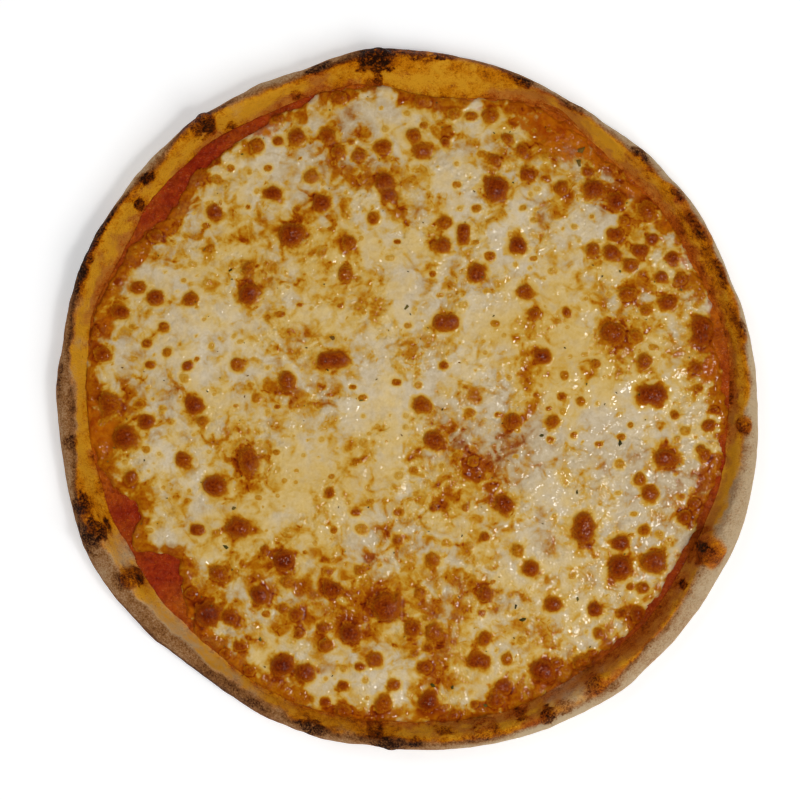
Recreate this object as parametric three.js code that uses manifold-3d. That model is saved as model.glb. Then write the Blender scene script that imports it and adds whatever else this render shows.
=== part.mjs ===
// A whole, uncut margherita pizza lying flat: dough with a raised rim, tomato sauce and baked cheese.
// Units are millimetres, +Z is up, and the origin is the middle of the dough's flat underside.
import * as THREE from "three";
import { mergeVertices } from "three/addons/utils/BufferGeometryUtils.js";
import Module from "manifold-3d";

const wasm = await Module();
wasm.setup();

// ---- Driving dimensions ----
const RADIUS = 160; // mean radius of the outline
const RIM_WIDTH = 13; // mean way from the outline in to the sauce
const RIM_HEIGHT = 16; // mean height of the rim's crest
const CREST_SHARE = 0.38; // mean place of the crest, as a share of the rim's width
const BELLY_HEIGHT = 5.5; // height at which the rim is widest
const TUCK = 6; // how far the flat underside stops short of the outline
const DOUGH_FLOOR = 4; // thickness of the dough under the sauce
const SAUCE_THICKNESS = 1.4;
const CHEESE_THICKNESS = 2.2;
const CHEESE_EDGE_THICKNESS = 1.1;
const CHEESE_MARGIN = 3; // mean width of the sauce left bare inside the rim
const LEAST_MARGIN = 0.8;
const GAP = 0.3; // between one layer and the next

// The layers' edges.
const SAUCE_SHOULDER = 0.4; // how far in the sauce's side leans over its height
const SAUCE_BEVEL = { across: 1.6, down: 0.3 };
const CHEESE_UNDERCUT = 0.6; // how far the cheese's underside stops short of its edge
const CHEESE_LIP_HEIGHT = 0.5; // height of the cheese's edge above its underside
const CHEESE_BEVEL = 1.2;

// The cheese's face: long waves, a ripple across them, and both dying out towards the edge.
const WAVE_RISE = 0.35;
const WAVE_LENGTHS = { x: 17, y: 21 }; // millimetres for each radian
const WAVE_SHIFTS = { x: 1.3, y: -0.4 };
const RIPPLE_RISE = 0.2;
const RIPPLE_LENGTH = 9;
const TAPER_POWER = 8; // the higher, the nearer to the edge the cheese gets thinner
const CALM_POWER = 4; // the higher, the nearer to the edge the waves die out

// Where each measure grows (+) or shrinks (-) round the pizza: angle from +X, amount, spread, angles in degrees.
const OUTLINE_SWELLS = [
  [306, 5, 11], [330, 4, 13], [345, 1.5, 5], [287, 2.2, 10], [58, -4.3, 13], [25, -1.4, 14],
  [113, -1.6, 8], [127, 1, 3], [96, 1, 4], [151, 1.2, 8], [209, 2, 9], [236, -2.2, 9],
];
const WIDTH_SWELLS = [
  [85, 7.5, 8], [62, -5, 7], [10, -2.5, 8], [152, 2, 5], [165, -2, 4], [210, 5, 13], [245, -2.2, 14],
  [303, 4, 8], [330, 3.5, 12],
];
const HEIGHT_SWELLS = [
  [86, -3.5, 9], [126, 1.5, 6], [20, -1.5, 16], [212, 1.5, 12], [305, 2, 9], [334, 2.5, 8], [60, 1, 8],
  [265, 1, 12], [185, -1, 8],
];
const CREST_SWELLS = [[318, 0.24, 22], [222, 0.16, 18], [86, -0.18, 14], [150, -0.14, 14], [20, -0.08, 20]];
const MARGIN_SWELLS = [
  [8, 3, 5], [130, 4, 14], [141, 5, 4], [202, 9, 4], [208.5, -4, 2], [215, 13, 3.5], [222, 4, 3],
  [182, -3, 6], [85, -3, 8], [260, -2.5, 22], [325, 2, 15],
];

// Scorched bubbles on the rim: angle in degrees, way in from the outline, length along the rim, width, height.
const RIM_BUBBLES = [
  [95, 5.5, 19, 10, 2.6], [126, 5, 11, 9, 2.2], [105, 4, 13, 5, 1.2], [157, 3.5, 16, 5, 1.4],
  [203.5, 7, 12, 12, 3], [213, 12, 12, 10, 3.2], [254, 4, 11, 6, 1.6], [267, 4, 14, 6, 1.8],
  [283.5, 8, 14, 10, 2], [294, 6, 10, 9, 2.4], [304, 10, 12, 9, 1.8], [334, 9.5, 19, 12, 3.4],
  [355.5, 6.5, 9, 6, 1.8], [46.5, 3.5, 8, 5, 1.6], [69.5, 4, 12, 5, 1.2],
];
const BUBBLE_DEPTH = 2; // how far a rim bubble's lower half reaches into the dough
const BUBBLE_SINK = 0.35; // share of its height by which a rim bubble's middle is sunk

// Baked bubbles of the cheese: x, y, length along x, width along y.
const LARGE_BLISTERS = [
  [-136, -2, 11, 11], [-129, -18, 12, 11], [-91, -98, 12, 11], [-76, -59, 12, 10], [-10, -95, 13, 13],
  [81, -59, 11, 15], [98, -77, 12, 11], [112, 2, 13, 10], [-53, 75, 11, 12], [-72, 48, 9, 10],
  [-72, -28, 10, 11], [-88, -40, 11, 10], [41, 96, 11, 12], [86, 96, 10, 9], [94, 30, 12, 11],
  [135, 31, 10, 14], [-56, -74, 10, 9], [-67, -90, 10, 10], [-26, -107, 11, 10], [-57, -122, 12, 10],
  [13, -19, 10, 9], [62, -124, 13, 11], [113, -74, 11, 10], [118, -27, 11, 10], [10, -139, 10, 10],
  [-34, 18, 14, 8], [18, 35, 12, 8],
];
const MEDIUM_BLISTERS = [
  [-47, -125, 9, 8], [80, -121, 9, 8], [-55, 8, 9, 9], [-50, 120, 8, 8], [-36, 120, 7, 8],
  [-10, 100, 9, 8], [-8, 93, 8, 7], [-39, 90, 8, 7], [-61, 94, 9, 7], [-88, 85, 7, 7],
  [7, 113, 8, 7], [71, 97, 7, 7], [96, 90, 8, 8], [110, 86, 8, 8], [94, 67, 8, 8],
  [107, 68, 9, 7], [101, 48, 9, 7], [109, 17, 8, 8], [62, 19, 9, 8], [7, -3, 8, 7],
  [49, -10, 8, 8], [-29, -143, 8, 7], [-11, -140, 8, 9], [33, -120, 12, 7], [67, -94, 8, 7],
  [106, -99, 8, 9], [86, -96, 7, 7], [127, -54, 7, 7], [111, -43, 8, 7], [98, -66, 8, 7],
  [-86, -80, 8, 7], [-34, -87, 9, 8], [3, -105, 8, 8], [13, -107, 8, 9], [57, -78, 8, 7],
  [36, -89, 7, 8], [-139, 20, 8, 8], [-119, -11, 7, 7], [-97, -3, 8, 8], [-126, -36, 7, 8],
  [-131, 40, 9, 7], [-115, 46, 8, 7], [-102, -28, 8, 7], [54, 49, 8, 7], [51, 70, 9, 9],
  [32, 57, 8, 8], [17, 70, 8, 8], [26, 75, 6, 10], [-28, 57, 7, 8], [45, -48, 8, 9],
];
const BLISTER_RISE = 0.3; // height of a blister, as a share of its width
const BLISTER_DEPTH = 0.7;
const BLISTER_SINK = 0.1; // share of its height by which a blister's middle is sunk
const SMALL_BLISTERS = 36;
const SMALL_BLISTER_SIZES = [4.4, 6.6];
const BLISTER_SPACING = 12; // least way between the middles of two small blisters
const BLISTER_SEED = 1889;

// Flakes of dried herb on the cheese. The largest lie at their own places: x, y, length, turn in degrees.
const LARGE_FLAKES = [
  [80, 114, 4, 40], [79, 108, 3.6, 100], [53, -101, 3, 20], [50, -95, 2.2, 75], [12, -131, 2.8, 130],
  [21, -132, 2.2, 60], [-34, 28, 3, 160], [-79, -50, 2.6, 10], [-67, -110, 2.4, 85], [0, 42, 2.6, 50],
];
const STREWN_FLAKES = 10;
const STREWN_FLAKE_SIZES = [1.6, 3];
const FLAKE_THICKNESS = 0.7;
const FLAKE_WIDTH = 0.6; // width of a flake, as a share of its length
const FLAKE_LIFT = 0.1;
const FLAKE_CORNERS = 5;
const FLAKE_SPACING = 26;
const FLAKE_SEED = 407;
const CLEARANCE = 0.8; // least way between one strewn thing and its neighbours
const MOST_TRIES = 4000;

// Numbers of the minimal standard generator of Park and Miller.
const GENERATOR_FACTOR = 48271;
const GENERATOR_MODULUS = 2147483647;

// How finely the layers and the domes on them are divided.
const LARGE_DOME = { around: 8, up: 6 };
const SMALL_DOME = { around: 6, up: 4 };
const RIM_SEGMENTS = 132;
const FLANK_STEPS = 3;
const CROWN_STEPS = 4;
const SLOPE_STEPS = 4;
const LAYER_SEGMENTS = 96;
const LAYER_RINGS = [0.35, 0.65, 0.88];
const MERGE_TOLERANCE = 1e-4;

const SLOTS = {
  crust: { color: 0xc79a5b, roughness: 0.8 },
  sauce: { color: 0x9c3216, roughness: 0.35 },
  cheese: { color: 0xd9c389, roughness: 0.4 },
};

// ---- Measures round the pizza ----
const degrees = (angle) => THREE.MathUtils.radToDeg(angle);
const radians = (angle) => THREE.MathUtils.degToRad(angle);

function swell(swells, angle) {
  let sum = 0;
  for (const [at, amount, spread] of swells) {
    const away = THREE.MathUtils.euclideanModulo(degrees(angle) - at + 180, 360) - 180;
    sum += amount * Math.exp(-0.5 * (away / spread) ** 2);
  }
  return sum;
}

const outline = (angle) => RADIUS + swell(OUTLINE_SWELLS, angle);
const rimWidth = (angle) => RIM_WIDTH + swell(WIDTH_SWELLS, angle);
const rimHeight = (angle) => RIM_HEIGHT + swell(HEIGHT_SWELLS, angle);
const crestWay = (angle) => rimWidth(angle) * (CREST_SHARE + swell(CREST_SWELLS, angle));
const sauceEdge = (angle) => outline(angle) - rimWidth(angle);
const cheeseMargin = (angle) => Math.max(LEAST_MARGIN, CHEESE_MARGIN + swell(MARGIN_SWELLS, angle));
const cheeseEdge = (angle) => sauceEdge(angle) - cheeseMargin(angle);

const SAUCE_BOTTOM = DOUGH_FLOOR + GAP;
const SAUCE_TOP = SAUCE_BOTTOM + SAUCE_THICKNESS;
const CHEESE_BOTTOM = SAUCE_TOP + GAP;

// Height of the cheese's face: a slow swell of about half a millimetre, thinner at its edge.
function cheeseTop(x, y) {
  const angle = Math.atan2(y, x);
  const share = Math.min(1, Math.hypot(x, y) / cheeseEdge(angle));
  const wave = Math.sin(x / WAVE_LENGTHS.x + WAVE_SHIFTS.x) * Math.cos(y / WAVE_LENGTHS.y + WAVE_SHIFTS.y);
  const ripple = Math.sin((x + y) / RIPPLE_LENGTH);
  const taper = (CHEESE_THICKNESS - CHEESE_EDGE_THICKNESS) * share ** TAPER_POWER;
  const swelling = (WAVE_RISE * wave + RIPPLE_RISE * ripple) * (1 - share ** CALM_POWER);
  return CHEESE_BOTTOM + CHEESE_THICKNESS - taper + swelling;
}

// Height of the rim's upper face at a way in from the outline: a round outer shoulder, then a soft slope.
function rimTop(angle, way) {
  const crest = crestWay(angle);
  const height = rimHeight(angle);
  if (way < crest) {
    return BELLY_HEIGHT + (height - BELLY_HEIGHT) * Math.sqrt(1 - (1 - way / crest) ** 2);
  }
  const share = Math.min(1, (way - crest) / (rimWidth(angle) - crest));
  return DOUGH_FLOOR + (height - DOUGH_FLOOR) * 0.5 * (1 + Math.cos(Math.PI * share));
}

// ---- Closed bodies ----

// Joins a geometry's shared vertices and drops the empty faces that this leaves on the axis.
function closed(geometry) {
  geometry.deleteAttribute("normal");
  geometry.deleteAttribute("uv");
  const merged = mergeVertices(geometry, MERGE_TOLERANCE);
  const corners = merged.index.array;
  const kept = [];
  for (let i = 0; i < corners.length; i += 3) {
    const [a, b, c] = corners.slice(i, i + 3);
    if (a !== b && b !== c && c !== a) kept.push(a, b, c);
  }
  merged.setIndex(kept);
  return merged;
}

function solid(geometry) {
  const body = closed(geometry);
  return new wasm.Manifold(new wasm.Mesh({
    numProp: 3,
    vertProperties: new Float32Array(body.attributes.position.array),
    triVerts: new Uint32Array(body.index.array),
  }));
}

function fused(base, pieces) {
  let whole = solid(base);
  for (const piece of pieces) whole = whole.add(solid(piece));
  const mesh = whole.getMesh();
  const geometry = new THREE.BufferGeometry();
  geometry.setAttribute("position", new THREE.BufferAttribute(new Float32Array(mesh.vertProperties), 3));
  geometry.setIndex(new THREE.BufferAttribute(new Uint32Array(mesh.triVerts), 1));
  return geometry;
}

// A body turned about +Z. Each station is a function of the angle that gives a radius and a height, from the
// axis below, round the outside and back to the axis above.
function turned(stations, segments) {
  const profile = stations.map((station) => new THREE.Vector2(...station(0)));
  const geometry = new THREE.LatheGeometry(profile, segments);
  geometry.rotateX(Math.PI / 2);
  const position = geometry.attributes.position;
  for (let i = 0; i < position.count; i += 1) {
    const step = Math.floor(i / stations.length) % segments;
    const angle = (2 * Math.PI * step) / segments;
    const [radius, height] = stations[i % stations.length](angle);
    position.setXYZ(i, radius * Math.cos(angle), radius * Math.sin(angle), height);
  }
  return geometry;
}

// A squashed ball whose lower half is shallow, so that it stays inside the layer that it stands on.
function dome(length, width, height, depth, fineness) {
  const geometry = new THREE.SphereGeometry(1, fineness.around, fineness.up);
  geometry.rotateX(Math.PI / 2);
  geometry.scale(length / 2, width / 2, 1);
  const position = geometry.attributes.position;
  for (let i = 0; i < position.count; i += 1) {
    const z = position.getZ(i);
    position.setZ(i, z * (z > 0 ? height : depth));
  }
  return geometry;
}

// ---- Crust ----
function crustStations() {
  const stations = [() => [0, 0]];
  for (let i = 0; i <= FLANK_STEPS; i += 1) {
    const turn = (Math.PI / 2) * (i / (FLANK_STEPS + 1));
    stations.push((angle) => [
      outline(angle) - TUCK * (1 - Math.sin(turn)),
      BELLY_HEIGHT * (1 - Math.cos(turn)),
    ]);
  }
  for (let i = 0; i < CROWN_STEPS; i += 1) {
    const way = (angle) => crestWay(angle) * (1 - Math.cos((Math.PI / 2) * (i / CROWN_STEPS)));
    stations.push((angle) => [outline(angle) - way(angle), rimTop(angle, way(angle))]);
  }
  for (let i = 0; i <= SLOPE_STEPS; i += 1) {
    const way = (angle) => crestWay(angle) + (rimWidth(angle) - crestWay(angle)) * (i / SLOPE_STEPS);
    stations.push((angle) => [outline(angle) - way(angle), rimTop(angle, way(angle))]);
  }
  stations.push(() => [0, DOUGH_FLOOR]);
  return stations;
}

function rimBubble([at, way, length, width, height]) {
  const angle = radians(at);
  const radius = outline(angle) - way;
  const middle = rimTop(angle, way) - BUBBLE_SINK * height;
  const bubble = dome(width, length, height, BUBBLE_DEPTH, LARGE_DOME);
  bubble.rotateZ(angle);
  bubble.translate(radius * Math.cos(angle), radius * Math.sin(angle), middle);
  return bubble;
}

function crust() {
  return fused(turned(crustStations(), RIM_SEGMENTS), RIM_BUBBLES.map(rimBubble));
}

// ---- Sauce ----
function sauce() {
  const edge = (angle) => sauceEdge(angle) - GAP;
  return closed(turned([
    () => [0, SAUCE_BOTTOM],
    (angle) => [edge(angle), SAUCE_BOTTOM],
    (angle) => [edge(angle) - SAUCE_SHOULDER, SAUCE_TOP - SAUCE_BEVEL.down],
    (angle) => [edge(angle) - SAUCE_BEVEL.across, SAUCE_TOP],
    () => [0, SAUCE_TOP],
  ], LAYER_SEGMENTS));
}

// ---- Cheese ----
function cheeseStations() {
  const stations = [() => [0, CHEESE_BOTTOM]];
  const onTop = (angle, radius) => [radius, cheeseTop(radius * Math.cos(angle), radius * Math.sin(angle))];
  stations.push((angle) => [cheeseEdge(angle) - CHEESE_UNDERCUT, CHEESE_BOTTOM]);
  stations.push((angle) => [cheeseEdge(angle), CHEESE_BOTTOM + CHEESE_LIP_HEIGHT]);
  stations.push((angle) => onTop(angle, cheeseEdge(angle) - CHEESE_BEVEL));
  for (const share of [...LAYER_RINGS].reverse()) {
    stations.push((angle) => onTop(angle, cheeseEdge(angle) * share));
  }
  stations.push(() => [0, cheeseTop(0, 0)]);
  return stations;
}

function randomDraws(seed) {
  let state = seed;
  return () => {
    state = (state * GENERATOR_FACTOR) % GENERATOR_MODULUS;
    return state / GENERATOR_MODULUS;
  };
}

// Places of things strewn over the cheese: clear of its edge and of the things in taken, and well spaced.
function strewn(count, sizes, spacing, seed, taken) {
  const draw = randomDraws(seed);
  const placed = [];
  for (let tries = 0; placed.length < count && tries < MOST_TRIES; tries += 1) {
    const angle = 2 * Math.PI * draw();
    const radius = Math.sqrt(draw()) * (cheeseEdge(angle) - sizes[1]);
    const across = sizes[0] + (sizes[1] - sizes[0]) * draw();
    const turn = 360 * draw();
    const [x, y] = [radius * Math.cos(angle), radius * Math.sin(angle)];
    const free = taken.every(([u, v, wide]) => Math.hypot(x - u, y - v) > (across + wide) / 2 + CLEARANCE);
    const spaced = placed.every(([u, v]) => Math.hypot(x - u, y - v) > spacing);
    if (free && spaced) placed.push([x, y, across, turn]);
  }
  return placed;
}

function blister([x, y, length, width], fineness) {
  const height = BLISTER_RISE * Math.min(length, width);
  const bubble = dome(length, width, height, BLISTER_DEPTH, fineness);
  bubble.translate(x, y, cheeseTop(x, y) - BLISTER_SINK * height);
  return bubble;
}

function herbFlake([x, y, length, turn]) {
  const flake = new THREE.CylinderGeometry(length / 2, length / 2, FLAKE_THICKNESS, FLAKE_CORNERS);
  flake.rotateX(Math.PI / 2);
  flake.scale(1, FLAKE_WIDTH, 1);
  flake.rotateZ(radians(turn));
  flake.translate(x, y, cheeseTop(x, y) + FLAKE_LIFT);
  return flake;
}

function cheese() {
  const placed = [...LARGE_FLAKES, ...LARGE_BLISTERS, ...MEDIUM_BLISTERS];
  const small = strewn(SMALL_BLISTERS, SMALL_BLISTER_SIZES, BLISTER_SPACING, BLISTER_SEED, placed);
  const taken = [...placed, ...small];
  const flakes = strewn(STREWN_FLAKES, STREWN_FLAKE_SIZES, FLAKE_SPACING, FLAKE_SEED, taken);
  return fused(turned(cheeseStations(), LAYER_SEGMENTS), [
    ...LARGE_BLISTERS.map((row) => blister(row, LARGE_DOME)),
    ...MEDIUM_BLISTERS.map((row) => blister(row, SMALL_DOME)),
    ...small.map(([x, y, across]) => blister([x, y, across, across], SMALL_DOME)),
    ...LARGE_FLAKES.map(herbFlake),
    ...flakes.map(herbFlake),
  ]);
}

// ---- The pizza ----
function named(name, geometry) {
  const material = new THREE.MeshStandardMaterial({ ...SLOTS[name], metalness: 0 });
  const mesh = new THREE.Mesh(geometry, material);
  mesh.name = name;
  return mesh;
}

const pizza = new THREE.Group();
pizza.add(named("crust", crust()), named("sauce", sauce()), named("cheese", cheese()));
export default pizza;
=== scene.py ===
"""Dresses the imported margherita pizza: fine meshes of crust, sauce and cheese, herb flakes and materials.

Shapes are worked out in millimetres with the formulas of the CAD part, then written in metres.
"""

import math

import bpy
import numpy as np
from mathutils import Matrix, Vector

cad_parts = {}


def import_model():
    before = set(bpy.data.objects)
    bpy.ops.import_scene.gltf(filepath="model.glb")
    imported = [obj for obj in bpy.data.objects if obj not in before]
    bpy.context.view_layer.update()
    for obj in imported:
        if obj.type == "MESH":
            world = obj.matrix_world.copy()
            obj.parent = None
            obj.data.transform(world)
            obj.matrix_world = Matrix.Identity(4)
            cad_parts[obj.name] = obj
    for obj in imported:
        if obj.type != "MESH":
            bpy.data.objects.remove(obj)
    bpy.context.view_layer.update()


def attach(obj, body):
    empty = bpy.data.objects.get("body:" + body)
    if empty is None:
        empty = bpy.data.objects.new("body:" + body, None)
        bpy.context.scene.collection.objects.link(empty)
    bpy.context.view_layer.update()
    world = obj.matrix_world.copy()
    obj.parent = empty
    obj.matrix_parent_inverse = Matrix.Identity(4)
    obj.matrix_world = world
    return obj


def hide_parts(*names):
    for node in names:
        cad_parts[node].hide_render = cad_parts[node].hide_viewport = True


MM = 0.001
NOISE_GAIN = 5  # widens Blender's noise, which stays near its middle, to about -1 to 1

# ---- Measures shared with the solids (mm) ----
RADIUS = 160
RIM_WIDTH = 13
RIM_HEIGHT = 16
CREST_SHARE = 0.38
BELLY_HEIGHT = 5.5
TUCK = 6
DOUGH_FLOOR = 4
SAUCE_THICKNESS = 1.4
CHEESE_THICKNESS = 2.2
CHEESE_EDGE_THICKNESS = 1.1
CHEESE_MARGIN = 3
LEAST_MARGIN = 0.8
GAP = 0.3
SAUCE_BOTTOM = DOUGH_FLOOR + GAP
SAUCE_TOP = SAUCE_BOTTOM + SAUCE_THICKNESS
CHEESE_BOTTOM = SAUCE_TOP + GAP
SLOPE_FOOT = SAUCE_TOP + 0.2  # height at which the rim's inner slope ends

# Where each measure grows or shrinks round the pizza: angle in degrees, amount, spread in degrees.
OUTLINE_SWELLS = [
    (306, 5, 11), (330, 4, 13), (345, 1.5, 5), (287, 2.2, 10), (58, -4.3, 13), (25, -1.4, 14),
    (113, -1.6, 8), (127, 1, 3), (96, 1, 4), (151, 1.2, 8), (209, 2, 9), (236, -2.2, 9),
]
WIDTH_SWELLS = [
    (85, 7.5, 8), (62, -5, 7), (10, -2.5, 8), (152, 2, 5), (165, -2, 4), (210, 5, 13), (245, -2.2, 14),
    (303, 4, 8), (330, 3.5, 12),
]
HEIGHT_SWELLS = [
    (86, -3.5, 9), (126, 1.5, 6), (20, -1.5, 16), (212, 1.5, 12), (305, 2, 9), (334, 2.5, 8), (60, 1, 8),
    (265, 1, 12), (185, -1, 8),
]
CREST_SWELLS = [(318, 0.24, 22), (222, 0.16, 18), (86, -0.18, 14), (150, -0.14, 14), (20, -0.08, 20)]
MARGIN_SWELLS = [
    (8, 3, 5), (130, 4, 14), (141, 5, 4), (202, 9, 4), (208.5, -4, 2), (215, 13, 3.5), (222, 4, 3),
    (182, -3, 6), (85, -3, 8), (260, -2.5, 22), (325, 2, 15),
]

# Baked bubbles of the cheese, as in the solid: x, y, length, width.
LARGE_BLISTERS = [
    (-136, -2, 11, 11), (-129, -18, 12, 11), (-91, -98, 12, 11), (-76, -59, 12, 10), (-10, -95, 13, 13),
    (81, -59, 11, 15), (98, -77, 12, 11), (112, 2, 13, 10), (-53, 75, 11, 12), (-72, 48, 9, 10),
    (-72, -28, 10, 11), (-88, -40, 11, 10), (41, 96, 11, 12), (86, 96, 10, 9), (94, 30, 12, 11),
    (135, 31, 10, 14), (-56, -74, 10, 9), (-67, -90, 10, 10), (-26, -107, 11, 10), (-57, -122, 12, 10),
    (13, -19, 10, 9), (62, -124, 13, 11), (113, -74, 11, 10), (118, -27, 11, 10), (10, -139, 10, 10),
    (-34, 18, 14, 8), (18, 35, 12, 8),
]
MEDIUM_BLISTERS = [
    (-47, -125, 9, 8), (80, -121, 9, 8), (-55, 8, 9, 9), (-50, 120, 8, 8), (-36, 120, 7, 8),
    (-10, 100, 9, 8), (-8, 93, 8, 7), (-39, 90, 8, 7), (-61, 94, 9, 7), (-88, 85, 7, 7), (7, 113, 8, 7),
    (71, 97, 7, 7), (96, 90, 8, 8), (110, 86, 8, 8), (94, 67, 8, 8), (107, 68, 9, 7), (101, 48, 9, 7),
    (109, 17, 8, 8), (62, 19, 9, 8), (7, -3, 8, 7), (49, -10, 8, 8), (-29, -143, 8, 7), (-11, -140, 8, 9),
    (33, -120, 12, 7), (67, -94, 8, 7), (106, -99, 8, 9), (86, -96, 7, 7), (127, -54, 7, 7),
    (111, -43, 8, 7), (98, -66, 8, 7), (-86, -80, 8, 7), (-34, -87, 9, 8), (3, -105, 8, 8),
    (13, -107, 8, 9), (57, -78, 8, 7), (36, -89, 7, 8), (-139, 20, 8, 8), (-119, -11, 7, 7),
    (-97, -3, 8, 8), (-126, -36, 7, 8), (-131, 40, 9, 7), (-115, 46, 8, 7), (-102, -28, 8, 7),
    (54, 49, 8, 7), (51, 70, 9, 9), (32, 57, 8, 8), (17, 70, 8, 8), (26, 75, 6, 10), (-28, 57, 7, 8),
    (45, -48, 8, 9),
]
# Further small ones that only the fine cheese has: x, y, width, how dark they are baked.
EDGE_BLISTERS = [
    (134, 5, 4, 0.5), (133, 14, 6, 0.7), (125.4, 54.5, 6.5, 0.6), (121.6, 64.6, 7, 0.8),
    (116.8, 55.7, 6, 0.7), (119.5, 44, 8, 0.8), (102.3, 61.5, 7, 0.6), (112.4, 73, 7, 0.8),
    (95.8, 75, 7.5, 0.7), (85.5, 68, 7, 0.6), (83, 104, 5.5, 0.7), (56, 103, 8, 0.7), (53, 113.6, 6.5, 0.6),
    (60.7, 133.2, 5, 0.5), (46, 119.6, 6, 0.5), (38.5, 130, 7, 0.5), (29.8, 129.3, 6, 0.4),
    (21.8, 130.4, 6, 0.3), (7, 136, 7, 0.5), (3.2, 120.7, 7, 0.5), (-11, 115, 8, 0.6),
    (-21.6, 111.3, 7, 0.5), (-30.6, 138, 6, 0.6), (-51, 140.2, 5, 0.5), (-58.6, 128.7, 6.5, 0.5),
    (-58.8, 118, 5, 0.6), (-68.5, 116.3, 7, 0.5), (-114.7, 74.5, 7.5, 0.6), (-123, 51, 6.5, 0.6),
    (-111.3, 33, 5, 0.5), (-143.7, 30.5, 6, 0.5), (-119, 25.3, 4.5, 0.4), (-117.4, 15.5, 4.5, 0.6),
    (-109.5, 21.3, 5, 0.4), (-96, -60, 7.5, 0.8), (-99, -89, 5, 0.8), (-81, -100, 7.5, 0.8),
    (-83.2, -116.6, 5, 0.5), (-76.5, -113.4, 6, 0.7), (-71.8, -124.4, 6, 0.6), (-56.6, -96.1, 5.5, 0.4),
    (-49, -107.3, 5.5, 0.6), (-36.6, -112.6, 6.5, 0.6), (-29, -131.3, 5.5, 0.7), (-37, -138.8, 5, 0.7),
    (-21.6, -122.5, 5, 0.6), (-14.7, -119.4, 7, 0.6), (-16.8, -147.3, 5.5, 0.7), (-5.7, -130.7, 6, 0.5),
    (8.6, -122.7, 7.5, 0.7), (10, -114, 5, 0.5), (16.8, -147.3, 5, 0.8), (21.7, -145.3, 5, 0.7),
    (31, -139.8, 4, 0.6), (41, -138, 7, 0.7), (44, -132, 8, 0.8), (35.6, -109.6, 6.5, 0.6),
    (45.7, -119, 5.5, 0.4), (68.4, -121, 5.5, 0.6), (85.5, -117.7, 5.5, 0.7), (88.4, -107.3, 5.5, 0.4),
    (99, -98, 5.5, 0.6), (108.5, -86.3, 6.5, 0.5), (108.5, -60, 5.5, 0.5), (131.6, -48, 5.5, 0.7),
    (106.8, -36.8, 5.5, 0.4), (136.7, -25.3, 6.5, 0.6), (127.7, -14.5, 5.5, 0.2), (138.5, -12, 6.5, 0.7),
    (140.8, -5, 5, 0.7), (122.8, -7.5, 4.5, 0.4),
]
BLISTER_RISE = 0.3  # as a share of its width
# Flakes of dried herb, as in the solid: x, y, length, turn in degrees.
LARGE_FLAKES = [
    (80, 114, 4, 40), (79, 108, 3.6, 100), (53, -101, 3, 20), (50, -95, 2.2, 75), (12, -131, 2.8, 130),
    (21, -132, 2.2, 60), (-34, 28, 3, 160), (-79, -50, 2.6, 10), (-67, -110, 2.4, 85), (0, 42, 2.6, 50),
]
BY_HAND = LARGE_FLAKES + LARGE_BLISTERS + MEDIUM_BLISTERS
# Things strewn over the cheese, as in the solid: how many, least and most width, spacing, seed.
BLISTER_SEED = 1889
SMALL_BLISTERS = (36, (4.4, 6.6), 12, BLISTER_SEED)
STREWN_FLAKES = (10, (1.6, 3), 26, 407)
CLEARANCE = 0.8  # least gap to what is listed
MOST_TRIES = 4000

# Scorched bubbles on the rim, as in the solid: angle, way in from the outline, length, width, height.
RIM_BUBBLES = [
    (95, 5.5, 19, 10, 2.6), (126, 5, 11, 9, 2.2), (105, 4, 13, 5, 1.2), (157, 3.5, 16, 5, 1.4),
    (203.5, 7, 12, 12, 3), (213, 12, 12, 10, 3.2), (254, 4, 11, 6, 1.6), (267, 4, 14, 6, 1.8),
    (283.5, 8, 14, 10, 2), (294, 6, 10, 9, 2.4), (304, 10, 12, 9, 1.8), (334, 9.5, 19, 12, 3.4),
    (355.5, 6.5, 9, 6, 1.8), (46.5, 3.5, 8, 5, 1.6), (69.5, 4, 12, 5, 1.2),
]

# Tiny things strewn over the fine cheese alone, and their height as a share of their width.
FINE_BLISTERS = (130, (2.4, 4.8), 6, 5501)
FINE_RISE = 0.15
SPOTS = (260, (1, 2.6), 4.5, 77003)
SPOT_RISE = 0.04
FINE_TRIES = 9000
SPECK_SEED = 90011
SPECKS = (120, (0.6, 1.3), 6, SPECK_SEED)
FLAKE_CORNERS = 7
FLAKE_THICKNESS = 0.1  # of one 1 mm long; it grows with the root of the length
FLAKE_WIDTH_SHARE = 0.55
FLAKE_RAGGEDNESS = 0.3
FLAKE_CURL = 0.12  # most that an end curls, as a share of the length
FLAKE_LIFT = 0.1  # height of a flake's middle over the cheese

# Fine relief and ragged edges: amount, feature size and seed of each noise.
DOUGH_RELIEF = [(0.8, 26, 1), (0.5, 10, 2), (0.18, 4, 3), (0.06, 1.8, 4)]
CHAR_RELIEF = [(0.4, 2.2, 5)]
CRACKLE_RELIEF = [(0.3, 2.4, 6)]
SCORCH_EDGE = [(0.45, 3, 11), (0.3, 1.3, 12)]
GLAZE_EDGE = [(0.25, 6, 38)]
SAUCE_RELIEF = [(0.22, 5, 41), (0.14, 2.2, 42)]
FILM_RELIEF = [(0.15, 4, 43)]
SAUCE_EDGE = [(0.4, 6, 44), (0.2, 2.5, 45)]
RAGGED_EDGE = [(1.5, 4, 64), (0.8, 1.8, 65)]
EDGE_ON_RIM = [(0.5, 5, 66), (0.3, 2, 67)]
CHEESE_RELIEF = [(0.35, 13, 71), (0.32, 6, 72), (0.18, 2.7, 73), (0.04, 1.5, 74)]
BLISTER_WOBBLE = [(0.3, 5, 81), (0.18, 2.2, 82)]
BLISTER_FRAY = [(0.05, 1.2, 83)]

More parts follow.
